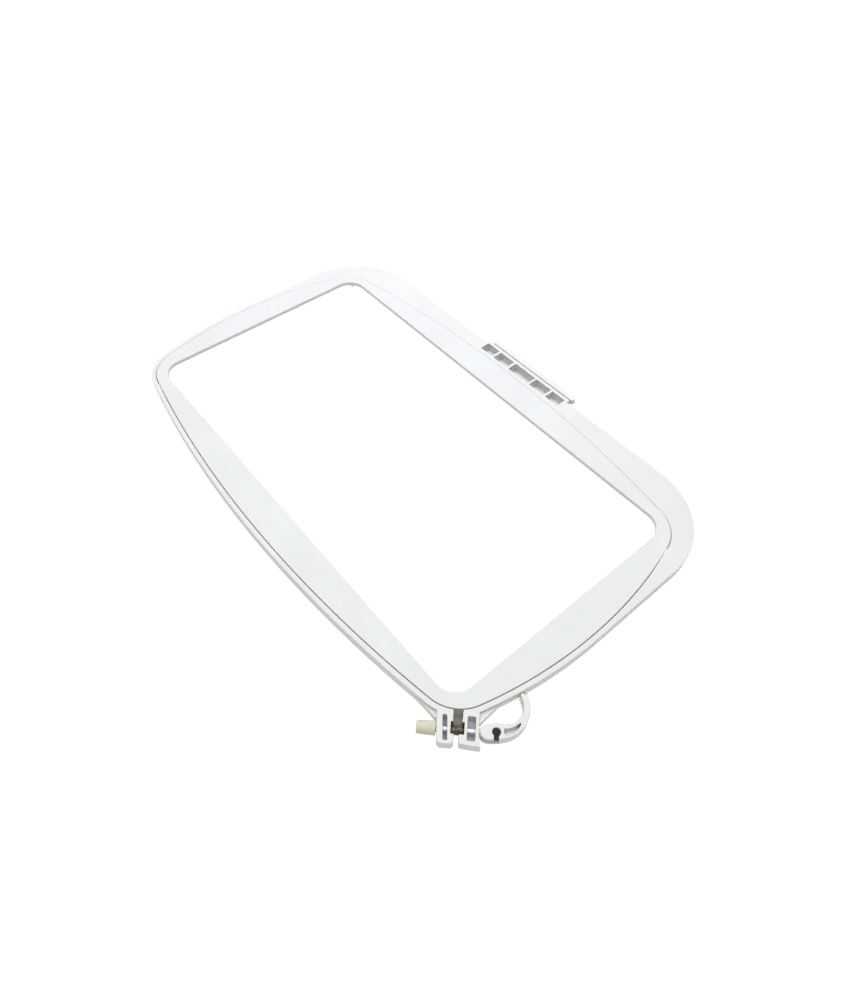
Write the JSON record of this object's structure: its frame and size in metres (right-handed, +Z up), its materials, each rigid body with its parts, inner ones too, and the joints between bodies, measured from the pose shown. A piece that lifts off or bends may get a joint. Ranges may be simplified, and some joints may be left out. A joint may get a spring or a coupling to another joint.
{
  "type": "embroidery hoop",
  "caption": "Large rectangular two-part embroidery hoop with a sprung corner clamp, thumb nut, crescent cam lever and a connector rail for the machine's arm.",
  "frame": {"origin": "middle of the footprint of the whole hoop, on the surface it lies on", "axes": "+X along the long sides, +Y towards the side with the machine connector, +Z up"},
  "size_m": [0.4548, 0.2836, 0.0094],
  "materials": {
    "inner_plastic": "fine satin moulded white plastic",
    "outer_plastic": "satin moulded warm white plastic",
    "connector_plastic": "satin moulded white plastic",
    "lever_plastic": "satin moulded off-white plastic",
    "nut_plastic": "matt moulded cream plastic, shallow grip ribs",
    "rod_steel": "bright plated steel",
    "bright_steel": "zinc plated steel",
    "spring_bronze": "dark bronze-coloured spring wire",
    "insert_brass": "turned brass",
    "seat_black": "black oxide",
    "pin_black": "black oxide, slight sheen"
  },
  "bodies": {
    "outer_frame": {"outer_hoop": "outer_plastic", "connector_block": "connector_plastic", "connector_screw_1": "bright_steel", "connector_screw_2": "bright_steel", "connector_screw_3": "bright_steel", "connector_screw_4": "bright_steel", "clamp_spring": "spring_bronze", "spring_seat_left": "seat_black", "spring_seat_right": "seat_black"},
    "inner_frame": {"inner_hoop": "inner_plastic"},
    "rod": {"clamp_rod": "rod_steel"},
    "lever": {"cam_lever": "lever_plastic", "lever_pin": "pin_black", "pin_clip": "bright_steel"},
    "washer": {"nut_washer": "bright_steel"},
    "nut": {"thumb_nut": "nut_plastic", "nut_insert": "insert_brass"}
  },
  "joints": [
    {"name": "inner_hoop_lift", "type": "slide", "parent": "outer_frame", "child": "inner_frame", "axis": [0, 0, 1], "range_m": [0, 0.02]},
    {"name": "rod_slide", "type": "slide", "parent": "outer_frame", "child": "rod", "axis": [-0.7071, -0.7071, 0], "range_m": [0, 0.00101]},
    {"name": "lever_swing", "type": "hinge", "parent": "rod", "child": "lever", "pos_m": [0.21826, -0.10414, 0.0047], "axis": [0, 0, -1], "range_deg": [0, 80]},
    {"name": "washer_slide", "type": "slide", "parent": "rod", "child": "washer", "axis": [-0.7071, -0.7071, 0], "range_m": [0, 0.004]},
    {"name": "nut_turn", "type": "hinge", "parent": "washer", "child": "nut", "pos_m": [0.188, -0.13412, 0.0047], "axis": [-0.7071, -0.7071, 0], "range_deg": [0, 1800]}
  ],
  "couplings": [
    {"joint": "rod_slide", "follows": "lever_swing", "m_per_rad": 0.00072},
    {"joint": "nut_turn", "follows": "washer_slide", "rad_per_m": 7853.9}
  ]
}
